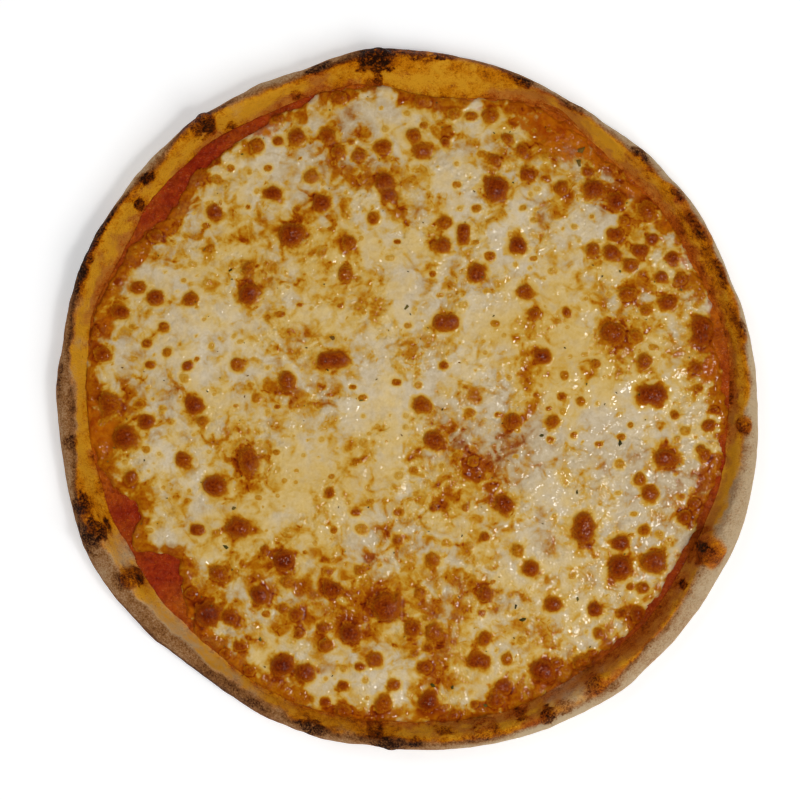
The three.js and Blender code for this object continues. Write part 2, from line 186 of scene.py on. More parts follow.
# ---- Looks of the rim ----
FLOUR_BAND = 4.2  # mean width of the dry floured band along the outline
FLOUR_SWELLS = [
    (25, -1.8, 16), (84, -4.4, 8), (127, -2.6, 4), (154, -1.6, 7), (183, 3.6, 8), (200, -3, 4), (207, 3, 4),
    (222, 5.2, 13), (262, 0.6, 10), (292, 0.4, 6), (312, 3.2, 9), (335, 6.5, 13),
]
# How pale scorch marks, the dry band and the slope inside it are, from -2.6 for char to 2.4 for cream.
CHAR_SHADE = -2.1
FLANK_SHADE = 1.05
# Darker rows on the left are partly browning, partly painted shade where the flank faces away from the light.
FLANK_SHADES = [
    (14, 1.5, 9), (30, 1, 14), (52, 0.5, 16), (91, -2, 5), (112, 0.4, 5), (130, -1, 5), (141, 1.8, 5),
    (155, -2.3, 8), (182, -0.5, 12), (200, -0.4, 5), (220, -0.2, 8), (236, -1.4, 8), (262, -0.4, 8),
    (292, 2.3, 6), (299, 0.4, 4), (332, 1.1, 22), (354, 0.7, 9),
]
# Painted shade: how much darker the very outline is, where the rounded flank turns away from the light.
PAINTED_OUTLINE_SHADE = [(226, 1.8, 10)]
SLOPE_SHADE = 1.35
# Rows at 228, 331 and 342 degrees also brighten steep slopes facing away from the lamps: painted light.
SLOPE_SHADES = [
    (22, -0.5, 10), (48, 0.5, 6), (53, 0.6, 4), (61, 1, 6), (70, -0.2, 4), (85, 0.7, 8), (100, -0.3, 4),
    (119, 1.2, 6), (130, 0.2, 6), (138, 0.45, 26), (145, 0.2, 6), (158, 0.9, 7), (179, 1.9, 8),
    (190, -0.2, 4), (201, 0.4, 4), (208, 0.7, 2.5), (228, 2.3, 10), (245, -0.1, 6), (264, 0.3, 7),
    (280, 1, 6), (292, 0.8, 9), (312, 0.2, 8), (331, 1, 6), (342, 3, 7),
]
# Where the slope is more or less oily.
OILINESS_SWELLS = [
    (20, 0.2, 20), (85, 0.3, 9), (175, -0.1, 9), (208, -0.5, 3), (225, -0.45, 9), (248, -0.2, 8),
    (300, -0.5, 4),
]
# Bubbles glazed red-brown by oil: angle, way in from the outline, length, width.
GLAZES = [(126, 5.5, 10, 9), (213, 12, 11, 9), (264.5, 10, 9, 8), (333.5, 12, 18, 16), (355.5, 6.5, 9, 6)]
GLAZE_SHADE = 0.15
GLAZE_COVER = 0.85
LIP_WIDTH = 1.5  # of the brown line where the dry band ends
TOASTED_REACH = 2.6  # of the brown ring round a scorch mark, where 1 is the mark's edge
BUBBLE_SHARE = 0.9  # how much of its height in the solid a rim bubble's dome has
# Where the brown line is stronger or weaker.
LIP_SWELLS = [
    (60, 0.3, 7), (106, 0.5, 6), (138, 0.6, 9), (152, 1.3, 9), (226, -1.1, 13), (318, 0.9, 7),
    (328, 0.3, 4), (345, 0.1, 5),
]
# Scorch marks: angle, way in from the outline, length round the rim, width across it, darkness.
SCORCHES = [
    (1, 12, 10, 4, 0.4), (12, 3, 10, 4, 0.5), (22, 4.5, 14, 4, 0.4), (31, 5, 12, 4, 0.4),
    (37, 3, 8, 4, 0.4), (46.5, 3, 9, 4, 0.65), (60, 2.4, 11, 5, 0.45), (69.5, 3.5, 12, 4, 0.75),
    (84, 2.4, 8, 3, 0.75), (89, 3, 16, 6, 0.7), (95, 5, 18, 11, 1), (95, 12.5, 5, 5, 0.7),
    (105, 3.2, 14, 4, 0.75), (110, 11, 5, 4, 0.5), (122.5, 11, 5, 3, 0.6), (126.5, 5.5, 15, 9, 0.6),
    (139.5, 5.5, 7, 4, 0.85), (144, 10, 5, 5, 0.8), (156, 2.2, 42, 6, 0.72), (177, 2, 14, 3, 0.45),
    (187.5, 6, 6, 6, 0.5), (198, 6, 12, 9, 0.65), (203.3, 7, 15, 13, 0.8), (212.5, 11, 11, 9, 0.35),
    (214.2, 13.5, 5, 4, 0.8), (243, 3.5, 12, 4, 0.35), (254, 4.5, 12, 6, 0.7), (264.5, 10, 7, 7, 0.5),
    (267, 3.5, 15, 6, 0.8), (271, 5, 8, 5, 0.7), (276, 9, 9, 4, 0.5), (283.5, 8, 14, 10, 0.3),
    (290, 11, 8, 6, 0.6), (294, 7.5, 8, 7, 0.75), (297, 8, 8, 8, 0.35), (303.5, 9.5, 11, 8, 0.4),
    (306, 5, 6, 4, 0.3), (326, 13, 5, 4, 0.8), (333.3, 12.5, 5, 5, 0.75), (355.5, 6.5, 7, 4, 0.3),
]
# Where the rim is crackled and speckled with brown.
FRECKLED = [(24, 0.75, 17), (150, 0.4, 10), (200, 0.4, 8), (262, 0.5, 10), (285, 0.8, 10), (330, 0.25, 14)]
# Where red oil from the sauce has stained the slope.
RUDDY_SWELLS = [
    (0, 0.3, 8), (40, 0.5, 12), (52, -0.6, 4), (62, 0.6, 8), (85, -0.6, 9), (107, 0.4, 6), (130, -0.3, 10),
    (155, 0.4, 8), (172, -0.3, 8), (200, -0.4, 12), (225, -0.5, 14), (250, -0.3, 10), (288, 0.5, 8),
    (320, 0.5, 14), (345, -0.4, 6),
]

# ---- Looks of the cheese: x, y, radius, amount ----
ORANGE_PATCHES = [
    (-60, -86, 26, 0.75), (-20, -95, 24, 0.9), (20, -103, 20, 0.8), (-100, -95, 14, 0.5),
    (-132, -8, 16, 0.9), (-135, 32, 10, 0.5), (-122, -45, 12, 0.5), (66, 118, 15, 1.3), (110, 84, 16, 0.8),
    (122, 48, 14, 0.5), (136, 22, 14, 1.2), (128, 0, 9, 0.6), (-36, 92, 15, 0.6), (-8, 92, 14, 0.6),
    (-96, 100, 8, 0.5), (-110, 62, 10, 0.4), (-72, -62, 14, 0.7), (32, -35, 16, 0.6), (60, -124, 16, 0.8),
    (10, -132, 12, 0.6), (-130, -62, 10, 0.6), (98, 60, 16, 0.5), (60, 18, 14, 0.35), (96, 30, 12, 0.5),
    (-60, 8, 14, 0.3), (120, -100, 10, 0.5), (-78, -38, 12, 0.35), (116, -30, 12, 0.45), (-53, 75, 13, 0.5),
    (41, 95, 12, 0.4),
]
YELLOW_PATCHES = [
    (-48, -46, 24, 0.8), (-15, -22, 16, 0.8), (24, -42, 20, 0.9), (66, 15, 20, 0.9), (56, 38, 16, 0.6),
    (-95, 62, 14, 0.7), (-74, 70, 14, 0.5), (-40, 66, 16, 0.6), (-88, -10, 16, 0.5), (-20, 62, 20, 0.5),
    (100, 22, 20, 0.5), (-80, -60, 16, 0.6), (80, -80, 16, 0.4), (50, -100, 12, 0.3), (105, 110, 10, 1),
    (5, 120, 14, 0.5), (-60, 40, 16, 0.3), (66, 52, 14, 0.5),
]
PALE_PATCHES = [
    (-8, -3, 18, 1), (-58, -56, 20, 0.8), (36, -96, 14, 1), (-96, 26, 16, 0.8), (-60, 22, 14, 0.5),
    (98, -50, 16, 0.8), (-70, 110, 16, 0.8), (44, 78, 12, 0.7), (-120, 66, 10, 0.5), (20, 100, 14, 0.5),
    (88, 76, 10, 0.6), (-12, -130, 12, 0.6), (120, 58, 8, 0.4), (-112, -25, 10, 0.7), (78, -16, 14, 0.5),
    (104, -12, 12, 0.5), (-75, -132, 12, 0.6), (0, 40, 14, 0.5), (36, 8, 12, 0.4), (60, -55, 12, 0.5),
]
BLUSH_PATCHES = [
    (24, -18, 18, 0.8), (50, -24, 16, 0.7), (105, -38, 18, 0.7), (90, -20, 14, 0.5), (88, 92, 12, 0.6),
    (-92, -112, 12, 0.5), (-30, 126, 14, 0.6), (-112, 4, 12, 0.6), (60, -10, 10, 0.5), (130, -40, 10, 0.6),
    (18, 112, 14, 0.5), (-55, 112, 12, 0.4), (112, -60, 14, 0.5), (66, -62, 12, 0.4), (-20, -70, 12, 0.5),
]
# Where the cheese is so thin that the oily sauce shines through.
SAUCED_PATCHES = [
    (66, 124, 9, 1), (76, 116, 8, 0.9), (88, 111, 7, 0.8), (104, 97, 6, 0.7), (119, 82, 6, 0.7),
    (129, 66, 6, 0.7), (139, 44, 6, 0.6), (143, 22, 6, 0.9), (138, 12, 6, 0.8), (148, 2, 5, 0.6),
    (54, 128, 7, 0.7), (34, 134, 6, 0.4), (-60, 130, 7, 0.8), (-66, 122, 6, 0.7), (-107, 93, 7, 0.8),
    (-112, 80, 7, 0.7), (-120, 66, 6, 0.6), (-128, 52, 6, 0.7), (-137, 36, 6, 0.6), (-142, 16, 6, 0.4),
    (-143, -8, 8, 0.8), (-138, -16, 7, 0.7), (-140, -24, 6, 0.5), (-130, -50, 6, 0.5), (-117, -84, 6, 0.6),
    (-101, -98, 6, 0.7), (-88, -105, 7, 0.5), (-80, -120, 6, 0.5), (-22, -146, 6, 0.5), (0, -148, 5, 0.4),
    (20, -146, 7, 0.6), (44, -137, 7, 0.7), (60, -132, 6, 0.4), (82, -121, 6, 0.5), (104, -100, 5, 0.4),
    (128, -66, 5, 0.4), (140, -34, 5, 0.3),
]
# Where the cheese is stained more or less towards its edge: angle, amount, spread.
THIN_SWELLS = [
    (30, -0.1, 22), (160, 0.9, 16), (203, 0.4, 16), (250, 0.9, 18), (290, 0.4, 12), (330, -0.2, 16),
]

# ---- Colours: shade and screen colour ----
# The rim from char (-2.6) over brown (-0.8) and tan (0) to cream (2.4): dry, oily, and stained red.
FLOURED_SHADES = [
    (-2.6, (42, 22, 12)), (-1.7, (88, 48, 26)), (-0.8, (134, 84, 43)), (0, (166, 112, 63)),
    (0.8, (190, 145, 100)), (2.4, (218, 190, 150)),
]
GOLDEN_SHADES = [
    (-2.6, (44, 20, 8)), (-1.7, (98, 42, 6)), (-0.8, (146, 66, 2)), (0, (184, 98, 2)),
    (0.6, (212, 120, 2)), (1.2, (228, 140, 8)), (2.4, (244, 171, 38)),
]
RUDDY_SHADES = [
    (-2.6, (40, 14, 4)), (-1.7, (96, 34, 2)), (-0.8, (138, 56, 2)), (0, (170, 75, 12)),
    (0.6, (190, 90, 18)), (1.2, (202, 107, 26)), (2.4, (216, 134, 48)),
]
# The cheese from brown (-2.6) over amber (-1) and tan (0) to cream (2.4): oily and dry.
OILY_SHADES = [
    (-2.6, (96, 26, 2)), (-2, (134, 50, 2)), (-1.4, (157, 76, 2)), (-0.9, (177, 106, 6)),
    (-0.3, (191, 134, 30)), (0.4, (202, 156, 62)), (1.2, (210, 174, 97)), (2.4, (224, 197, 138)),
]
DRY_SHADES = [
    (-2.6, (88, 28, 10)), (-2, (118, 50, 20)), (-1.4, (138, 76, 38)), (-0.9, (154, 103, 58)),
    (-0.3, (170, 132, 88)), (0.4, (184, 154, 114)), (1.2, (196, 175, 140)), (2.4, (222, 206, 178)),
]
HERB_SHADES = [(0, (52, 44, 10)), (0.35, (78, 68, 16)), (0.65, (104, 92, 34)), (1, (118, 74, 20))]
BUMP_DEPTH = 0.5

# ---- Fineness ----
RIM_SEGMENTS = 960
UNDER_STEPS = 10
CROWN_STEPS = 34
SLOPE_STEPS = 42
HIDDEN_DROP = 1.2  # how far past the slope's foot the dough's floor begins, under the sauce
SUNK = 4.6  # how deep the sauce and the cheese dive into the dough past their edges
CHEESE_CELLS = 300
CHEESE_SKIRT = 6.5  # how far the cheese's mesh runs on, out of sight, past its edge
CHEESE_LAP = 2.6  # how far the fine edge lies past the solid's where little sauce shows
CHEESE_FOOT = CHEESE_BOTTOM - 0.25  # height of the fine cheese's hidden underside
HALO = 1.7  # reach of a blister's stain, where 1 is the blister's edge
SAUCE_SEGMENTS = 720
SAUCE_INSETS = (-4.2, *np.linspace(-3.8, 16, 48), 18, 20, 23, 26, 30, 45, 70, 100, 125)
SAUCE_FOOT_INSET = 1
SAUCE_FILM = 0.3  # how thick the sauce lies over its solid and on the slope
SAUCE_CLIMB = 0.8  # how far it climbs the slope where it lies bare
# Where bare sauce is red, and not browned by oil: angle, amount, spread.
RED_SWELLS = [
    (2, 0.4, 4), (38, 0.3, 6), (107, 0.6, 4), (130, 1, 14), (150, 0.3, 6), (182, 0.5, 5), (202, 0.8, 5),
    (216, 1, 6), (320, 0.7, 9), (348, 0.8, 9),
]


# ---- Functions of the angle round the pizza ----
def swell(rows, angle):
    """Sum of soft swells at an angle in radians."""
    turn = np.degrees(angle)
    total = np.zeros_like(turn)
    for at, amount, spread in rows:
        away = (turn - at + 180) % 360 - 180
        total = total + amount * np.exp(-0.5 * (away / spread) ** 2)
    return total


def outline(angle):
    return RADIUS + swell(OUTLINE_SWELLS, angle)


def rim_width(angle):
    return RIM_WIDTH + swell(WIDTH_SWELLS, angle)


def rim_height(angle):
    return RIM_HEIGHT + swell(HEIGHT_SWELLS, angle)


def crest_way(angle):
    return rim_width(angle) * (CREST_SHARE + swell(CREST_SWELLS, angle))


def sauce_edge(angle):
    return outline(angle) - rim_width(angle)


def cheese_edge(angle):
    return sauce_edge(angle) - np.maximum(LEAST_MARGIN, CHEESE_MARGIN + swell(MARGIN_SWELLS, angle))


def rim_top(angle, way):
    """Height of the rim's upper face at a way in from the outline."""
    crest, height, width = crest_way(angle), rim_height(angle), rim_width(angle)
    shoulder = np.sqrt(np.clip(1 - (1 - np.minimum(way, crest) / crest) ** 2, 0, 1))
    outer = BELLY_HEIGHT + (height - BELLY_HEIGHT) * shoulder
    share = np.clip((way - crest) / (width - crest), 0, 1)
    inner = SLOPE_FOOT + (height - SLOPE_FOOT) * 0.5 * (1 + np.cos(np.pi * share))
    return np.where(way < crest, outer, inner)


def cheese_top(x, y):
    """Height of the solid cheese's face."""
    share = np.minimum(1, np.hypot(x, y) / cheese_edge(np.arctan2(y, x)))
    wave = 0.35 * np.sin(x / 17 + 1.3) * np.cos(y / 21 - 0.4) + 0.2 * np.sin((x + y) / 9)
    taper = (CHEESE_THICKNESS - CHEESE_EDGE_THICKNESS) * share**8
    return CHEESE_BOTTOM + CHEESE_THICKNESS - taper + wave * (1 - share**4)


# ---- Noise ----
def smooth(low, high, value):
    """0 below low, 1 above high, and a soft step between."""
    t = np.clip((value - low) / (high - low), 0, 1)
    return t * t * (3 - 2 * t)


def noise(points, cell, seed):
    """Smooth noise from -1 to 1 with features about cell wide, at points with x, y and z in millimetres."""
    table = np.random.default_rng(seed).uniform(-1, 1, (64, 64, 64))
    scaled = points / cell + 31.7
    low = np.floor(scaled).astype(int)
    part = scaled - low
    part = part * part * (3 - 2 * part)
    total = np.zeros(len(points))
    for corner in range(8):
        step = np.array([corner & 1, corner >> 1 & 1, corner >> 2 & 1])
        weight = np.prod(np.where(step, part, 1 - part), axis=1)
        i, j, k = ((low + step) % 64).T
        total += weight * table[i, j, k]
    return total


def layered(points, cell, seed, octaves=3):
    """Noise with finer and weaker noise on top of it."""
    total, weight = 0, 0
    for level in range(octaves):
        share = 0.55**level
        total = total + share * noise(points, cell / 2**level, seed + level)
        weight += share
    return 1.6 * total / weight


def uneven(rows, points):
    """Sum of noises, from rows of amount, feature size and seed."""
    total = 0
    for amount, cell, seed in rows:
        total = total + amount * noise(points, cell, seed)
    return total


def turned(radius, angle, height):
    """Points at radii and angles about the upright axis."""
    return np.stack([radius * np.cos(angle), radius * np.sin(angle), height], axis=-1)


def patches(rows, x, y):
    """Sum of soft round patches."""
    total = np.zeros_like(x)
    for u, v, radius, amount in rows:
        total += amount * np.exp(-((x - u) ** 2 + (y - v) ** 2) / radius**2)
    return total


# ---- Meshes ----
def disc_cells(cells):
    """A square grid bent into a unit disc: its points, its quads and the loop of its edge."""
    side = np.linspace(-1, 1, cells + 1)
    a, b = np.meshgrid(side, side, indexing="ij")
    wide = np.abs(a) > np.abs(b)
    with np.errstate(divide="ignore", invalid="ignore"):
        turn = np.nan_to_num(np.where(wide, np.pi / 4 * b / a, np.pi / 2 - np.pi / 4 * a / b))
    radius = np.where(wide, a, b)
    points = np.stack([radius * np.cos(turn), radius * np.sin(turn)], axis=-1).reshape(-1, 2)
    index = np.arange((cells + 1) ** 2).reshape(cells + 1, cells + 1)
    quads = np.stack([index[:-1, :-1], index[1:, :-1], index[1:, 1:], index[:-1, 1:]], axis=-1).reshape(-1, 4)
    loop = np.concatenate([index[:-1, 0], index[-1, :-1], index[:0:-1, -1], index[0, :0:-1]])
    return points, quads, loop


def turned_faces(stations, segments):
    """Faces of a body turned about Z, whose points run station by station at each step, axis points last."""
    here = np.arange(segments) * stations
    ahead = np.roll(here, -1)
    faces = []
    for k in range(stations - 1):
        faces += np.stack([here + k, ahead + k, ahead + k + 1, here + k + 1], axis=1).tolist()
    below, above = segments * stations, segments * stations + 1
    faces += [(below, a, h) for h, a in zip(here, ahead)]
    faces += [(above, h + stations - 1, a + stations - 1) for h, a in zip(here, ahead)]
    return faces


def add_object(name, data):
    thing = bpy.data.objects.new(name, data)
    bpy.context.scene.collection.objects.link(thing)
    return thing


def make_piece(name, points, faces, masks, material, node):
    """A shown mesh from points in millimetres, with its masks as point attributes."""
    mesh = bpy.data.meshes.new(name)
    mesh.from_pydata((np.asarray(points) * MM).tolist(), [], [list(map(int, face)) for face in faces])
    mesh.polygons.foreach_set("use_smooth", [True] * len(mesh.polygons))
    for mask, values in masks.items():
        mesh.attributes.new(mask, "FLOAT", "POINT").data.foreach_set("value", np.asarray(values, np.float32))
    mesh.materials.append(material)
    mesh.update()
    piece = add_object(name, mesh)
    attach(piece, "root")
    if node:
        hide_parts(node)
    return piece


# ---- Node helpers ----
def set_range(node, numbers):
    """Sets from where to where a node maps a value."""
    for socket, number in zip(("From Min", "From Max", "To Min", "To Max"), numbers):
        node.inputs[socket].default_value = number


class Term:
    """A node's output that is added and multiplied like a number."""

    def __init__(self, shader, socket):
        self.shader, self.socket = shader, socket

    def __add__(self, other):
        return self.shader.math("ADD", self, other)

    def __sub__(self, other):
        return self.shader.math("SUBTRACT", self, other)

    def __rsub__(self, other):
        return self.shader.math("SUBTRACT", other, self)

    def __mul__(self, other):
        return self.shader.math("MULTIPLY", self, other)

    __radd__ = __add__
    __rmul__ = __mul__


class Shader:
    """A small help to write a material's nodes as expressions."""

    def __init__(self, name):
        self.material = bpy.data.materials.new(name)
        self.material.use_nodes = True
        self.tree = self.material.node_tree
        self.surface = self.tree.nodes["Principled BSDF"]
        self.place = Term(self, self.tree.nodes.new("ShaderNodeTexCoord").outputs["Object"])

    def put(self, socket, value):
        if isinstance(value, Term):
            self.tree.links.new(value.socket, socket)
        elif isinstance(value, tuple) and len(value) == 3 and socket.type == "RGBA":
            socket.default_value = (*value, 1)
        else:
            socket.default_value = value

    def mask(self, name):
        node = self.tree.nodes.new("ShaderNodeAttribute")
        node.attribute_name = name
        return Term(self, node.outputs["Fac"])

    def noise(self, size, detail=3.0, roughness=0.55, distortion=0.0):
        """Noise of mean 0, mostly from -1 to 1, whose features are about size millimetres wide."""
        node = self.tree.nodes.new("ShaderNodeTexNoise")
        self.put(node.inputs["Vector"], self.place)
        node.inputs["Scale"].default_value = 1 / (size * MM)
        node.inputs["Detail"].default_value = detail
        node.inputs["Roughness"].default_value = roughness
        node.inputs["Distortion"].default_value = distortion
        return (Term(self, node.outputs["Fac"]) - 0.5) * NOISE_GAIN

    def math(self, operation, a, b=0.0):
        node = self.tree.nodes.new("ShaderNodeMath")
        node.operation = operation
        self.put(node.inputs[0], a)
        self.put(node.inputs[1], b)
        return Term(self, node.outputs[0])

    def step(self, value, low, high, start=0.0, end=1.0):
        """A soft step of a value."""
        node = self.tree.nodes.new("ShaderNodeMapRange")
        node.interpolation_type = "SMOOTHSTEP"
        self.put(node.inputs["Value"], value)
        set_range(node, (low, high, start, end))
        return Term(self, node.outputs["Result"])

    def blend(self, share, first, second):
        """A number between two others."""
        return first + (second - first) * share

    def mix(self, share, first, second):
        """A colour between two others."""
        node = self.tree.nodes.new("ShaderNodeMix")
        node.data_type = "RGBA"
        colour_a, colour_b = [socket for socket in node.inputs if socket.type == "RGBA"]
        self.put(node.inputs["Factor"], share)
        self.put(colour_a, first)
        self.put(colour_b, second)
        return Term(self, next(socket for socket in node.outputs if socket.type == "RGBA"))

    def ramp(self, value, stops):
        """The colour at a value, from stops of a value and a screen colour."""
        low, high = stops[0][0], stops[-1][0]
        share = (value - low) * (1 / (high - low))
        node = self.tree.nodes.new("ShaderNodeValToRGB")
        elements = node.color_ramp.elements
        while len(elements) < len(stops):
            elements.new(0.5)
        for element, (at, shade) in zip(elements, stops):
            element.position = (at - low) / (high - low)
            element.color = (*colour(*shade), 1)
        self.put(node.inputs["Fac"], share)
        return Term(self, node.outputs["Color"])

    def bump(self, height, distance_mm):
        node = self.tree.nodes.new("ShaderNodeBump")
        node.inputs["Distance"].default_value = distance_mm * MM
        self.put(node.inputs["Height"], height)
        return Term(self, node.outputs["Normal"])

    def finish(self, **sockets):
        for socket, value in sockets.items():
            self.put(self.surface.inputs[socket.replace("_", " ")], value)
        return self.material


def colour(red, green, blue):
    """A linear colour from a screen colour of numbers from 0 to 255."""
    def linear(value):
        share = value / 255
        return share / 12.92 if share <= 0.04045 else ((share + 0.055) / 1.055) ** 2.4
    return linear(red), linear(green), linear(blue)


# ---- Crust ----
def rim_local(angle, way, at, inward, length, width):
    """How far a point lies from a mark on the rim, where 1 is the mark's edge."""
    along = RADIUS * ((angle - math.radians(at) + np.pi) % (2 * np.pi) - np.pi)
    return np.hypot(along / (length / 2), (way - inward) / (width / 2))


def crust_points():
    """Points of the crust's outside, station by station at each angle, with their way in from the outline."""
    angle = np.linspace(0, 2 * np.pi, RIM_SEGMENTS, endpoint=False)
    edge, crest, width = outline(angle), crest_way(angle), rim_width(angle)
    rows = []
    for i in range(UNDER_STEPS):
        across, up = math.sin(np.pi / 2 * i / UNDER_STEPS), math.cos(np.pi / 2 * i / UNDER_STEPS)
        rows.append((edge - TUCK * (1 - across), BELLY_HEIGHT * (1 - up), -BELLY_HEIGHT * up))
    ways = [crest * (1 - math.cos(np.pi / 2 * i / CROWN_STEPS)) for i in range(CROWN_STEPS)]
    ways += [crest + (width - crest) * i / SLOPE_STEPS for i in range(SLOPE_STEPS + 1)]
    rows += [(edge - way, rim_top(angle, way), way) for way in ways]
    rows.append((edge - width - HIDDEN_DROP, DOUGH_FLOOR, width))
    radius, height, way = (
        np.stack([np.broadcast_to(row[k], angle.shape) for row in rows], axis=1).ravel() for k in range(3)
    )
    return np.repeat(angle, len(rows)), radius, height, way, len(rows)


def section_normals(radius, height, stations):
    """Outward directions of each section of a turned body, across and up."""
    r, h = radius.reshape(-1, stations), height.reshape(-1, stations)
    across, up = np.gradient(h, axis=1), -np.gradient(r, axis=1)
    length = np.hypot(across, up) + 1e-9
    return (across / length).ravel(), (up / length).ravel()


def scorching(angle, way, base):
    """How scorched the rim is at its marks, and how toasted a wider ring round them."""
    scorch, toasted = np.zeros_like(angle), np.zeros_like(angle)
    rough = uneven(SCORCH_EDGE, base)
    for at, inward, length, across, dark in SCORCHES:
        reach = rim_local(angle, way, at, inward, length, across) + rough
        scorch = np.maximum(scorch, dark * smooth(1.2, 0.65, reach))
        toasted = np.maximum(toasted, dark * smooth(TOASTED_REACH, 0.7, reach))
    return scorch, toasted


def crust_lift(angle, way, height, share, base, scorch, freckled):
    """Height of the dough's relief, which fades out at both feet, and of the rim's bubbles."""
    free = smooth(0.4, 3.0, height) * smooth(1.0, 0.65, share)
    lift = uneven(DOUGH_RELIEF, base) + scorch * uneven(CHAR_RELIEF, base)
    lift = (lift + freckled * uneven(CRACKLE_RELIEF, base)) * free
    for at, inward, length, across, rise in RIM_BUBBLES:
        reach = rim_local(angle, way, at, inward, length, across)
        lift += rise * BUBBLE_SHARE * np.sqrt(np.clip(1 - reach**2, 0, 1)) * smooth(1.02, 0.7, reach)
    return lift


def glazing(angle, way, base):
    """How glazed the rim is at its oily bubbles."""
    glazed = np.zeros_like(angle)
    for at, inward, length, across in GLAZES:
        reach = rim_local(angle, way, at, inward, length, across) + uneven(GLAZE_EDGE, base)
        glazed = np.maximum(glazed, GLAZE_COVER * smooth(1.2, 0.75, reach))
    return glazed


def crust_masks(angle, way, share, base, scorch, toasted, freckled):
    """What the crust's material reads at each point."""
    band = FLOUR_BAND + swell(FLOUR_SWELLS, angle) + 1.4 * layered(base, 9, 31)
    golden = smooth(-1.2, 1.8, way - band)
    # Round the left side the flank's tone is partly browning and partly painted shade.
    flank = FLANK_SHADE + swell(FLANK_SHADES, angle) - 0.45 * smooth(0.2, 1.0, way / band)
    # Painted shade darkens the very outline where the flank turns away from the light.
    flank -= swell(PAINTED_OUTLINE_SHADE, angle) * smooth(3, 0.5, way)
    # Some slope rows are painted light on steep slopes that face away from the lamps.
    slope = SLOPE_SHADE + swell(SLOPE_SHADES, angle) - 0.4 * smooth(0.8, 1.0, share)
    slope += 1.0 * np.exp(-(((share - 0.66) / 0.16) ** 2)) - 0.4
    lip = np.clip(0.8 + swell(LIP_SWELLS, angle) + 0.8 * layered(base, 7, 35), 0, 2)
    lip = lip * np.exp(-(((way - band) / LIP_WIDTH) ** 2))
    mottle = 0.55 * layered(base, 11, 33) + 0.8 * golden * layered(base, 5, 34)
    glazed = glazing(angle, way, base)
    shade = flank + (slope - flank) * golden + mottle - lip
    shade = shade * (1 - glazed) + (GLAZE_SHADE + 1.8 * mottle) * glazed
    oily = np.clip(golden * (1.05 + swell(OILINESS_SWELLS, angle) + 0.25 * layered(base, 8, 37)), 0, 1)
    return {
        "shade": (shade - 0.7 * toasted) * (1 - scorch) + CHAR_SHADE * scorch,
        "oily": np.maximum(oily, glazed),
        "freckled": freckled,
        "scorched": scorch,
        "ruddy": swell(RUDDY_SWELLS, angle) + 0.8 * smooth(0.6, 0.95, share) + 0.5 * glazed,
    }


def make_crust(material):
    angle, radius, height, way, stations = crust_points()
    base = turned(radius, angle, height)
    share = way / rim_width(angle)
    scorch, toasted = scorching(angle, way, base)
    freckled = np.clip(swell(FRECKLED, angle), 0, 1) * smooth(1.5, 4.5, way) * smooth(1.0, 0.6, share)
    masks = crust_masks(angle, way, share, base, scorch, toasted, freckled)

    lift = crust_lift(angle, way, height, share, base, scorch, freckled)
    across, up = section_normals(radius, height, stations)
    radius = radius + lift * across
    height = np.maximum(height + lift * up, 0)
    points = np.vstack([turned(radius, angle, height), [(0, 0, 0), (0, 0, DOUGH_FLOOR)]])
    masks = {name: np.append(values, (0, 0)) for name, values in masks.items()}
    faces = turned_faces(stations, RIM_SEGMENTS)
    return make_piece("crust_skin", points, faces, masks, material, "crust")


def crust_material():
    s = Shader("baked_dough")
    broad, spots = s.noise(6, 3, 0.6), s.noise(2.2, 3, 0.6, 0.4)
    fine, grain = s.noise(0.9, 3, 0.6), s.noise(0.4, 2)
    oily, scorched = s.mask("oily"), s.mask("scorched")
    shade = s.mask("shade") + broad * s.blend(oily, 0.35, 0.95) + spots * s.blend(oily, 0.5, 0.9)
    shade = shade + fine * 0.9 + grain * 0.6
    freckles = s.step(spots * 0.9 + fine * 0.8, 0.1, 1.0)
    crackles = s.step(s.noise(2.6, 4, 0.75, 1.0), -0.1, 0.5)
    shade = shade - freckles * s.blend(oily, 0.15, 0.5)
    shade = shade - s.mask("freckled") * (crackles * 1.4 + freckles * 0.6)
    shade = shade + scorched * (fine * 1.3 + spots * 0.9)
    ruddy = s.step(s.mask("ruddy") + s.noise(9, 3) * 0.6, 0.2, 0.9)
    ramps = FLOURED_SHADES, GOLDEN_SHADES, RUDDY_SHADES
    floured, golden, reddened = [s.ramp(shade, stops) for stops in ramps]
    oiled = s.step(oily + broad * 0.16 + spots * 0.1, 0.05, 0.95)
    base = s.mix(oiled, floured, s.mix(ruddy, golden, reddened))
    cracked = s.mask("freckled") * (spots * 0.6 + fine * 0.4) + scorched * (fine * 0.5 + spots * 0.5)
    normal = s.bump(spots * 0.35 + fine * 0.5 + grain * 0.45 + cracked, BUMP_DEPTH)
    s.surface.inputs["Specular IOR Level"].default_value = 0.08
    return s.finish(Base_Color=base, Roughness=0.85 - oily * 0.45, Normal=normal)


# ---- Sauce ----
def dough_ground(x, y):
    """Height of the dough under the toppings: its floor and the rim's inner slope."""
    angle = np.arctan2(y, x)
    way = np.maximum(outline(angle) - np.hypot(x, y), crest_way(angle))
    return rim_top(angle, way)


def sauce_top(x, y):
    """Height of the sauce's lumpy face, which climbs a little up the rim where it lies bare."""
    angle = np.arctan2(y, x)
    points = np.stack([x, y, np.zeros_like(x)], axis=1)
    level = SAUCE_TOP + SAUCE_FILM + uneven(SAUCE_RELIEF, points)
    ground = dough_ground(x, y)
    bare = sauce_edge(angle) - cheese_edge(angle)
    limit = 0.7 + SAUCE_CLIMB * smooth(5, 9, bare) + uneven(SAUCE_EDGE, points)
    past = np.hypot(x, y) - sauce_edge(angle)
    reach = smooth(limit + 0.6, limit - 0.6, past)
    film = SAUCE_FILM + uneven(FILM_RELIEF, points)
    return np.maximum(level, ground + film) * reach + (ground - SUNK) * (1 - reach)


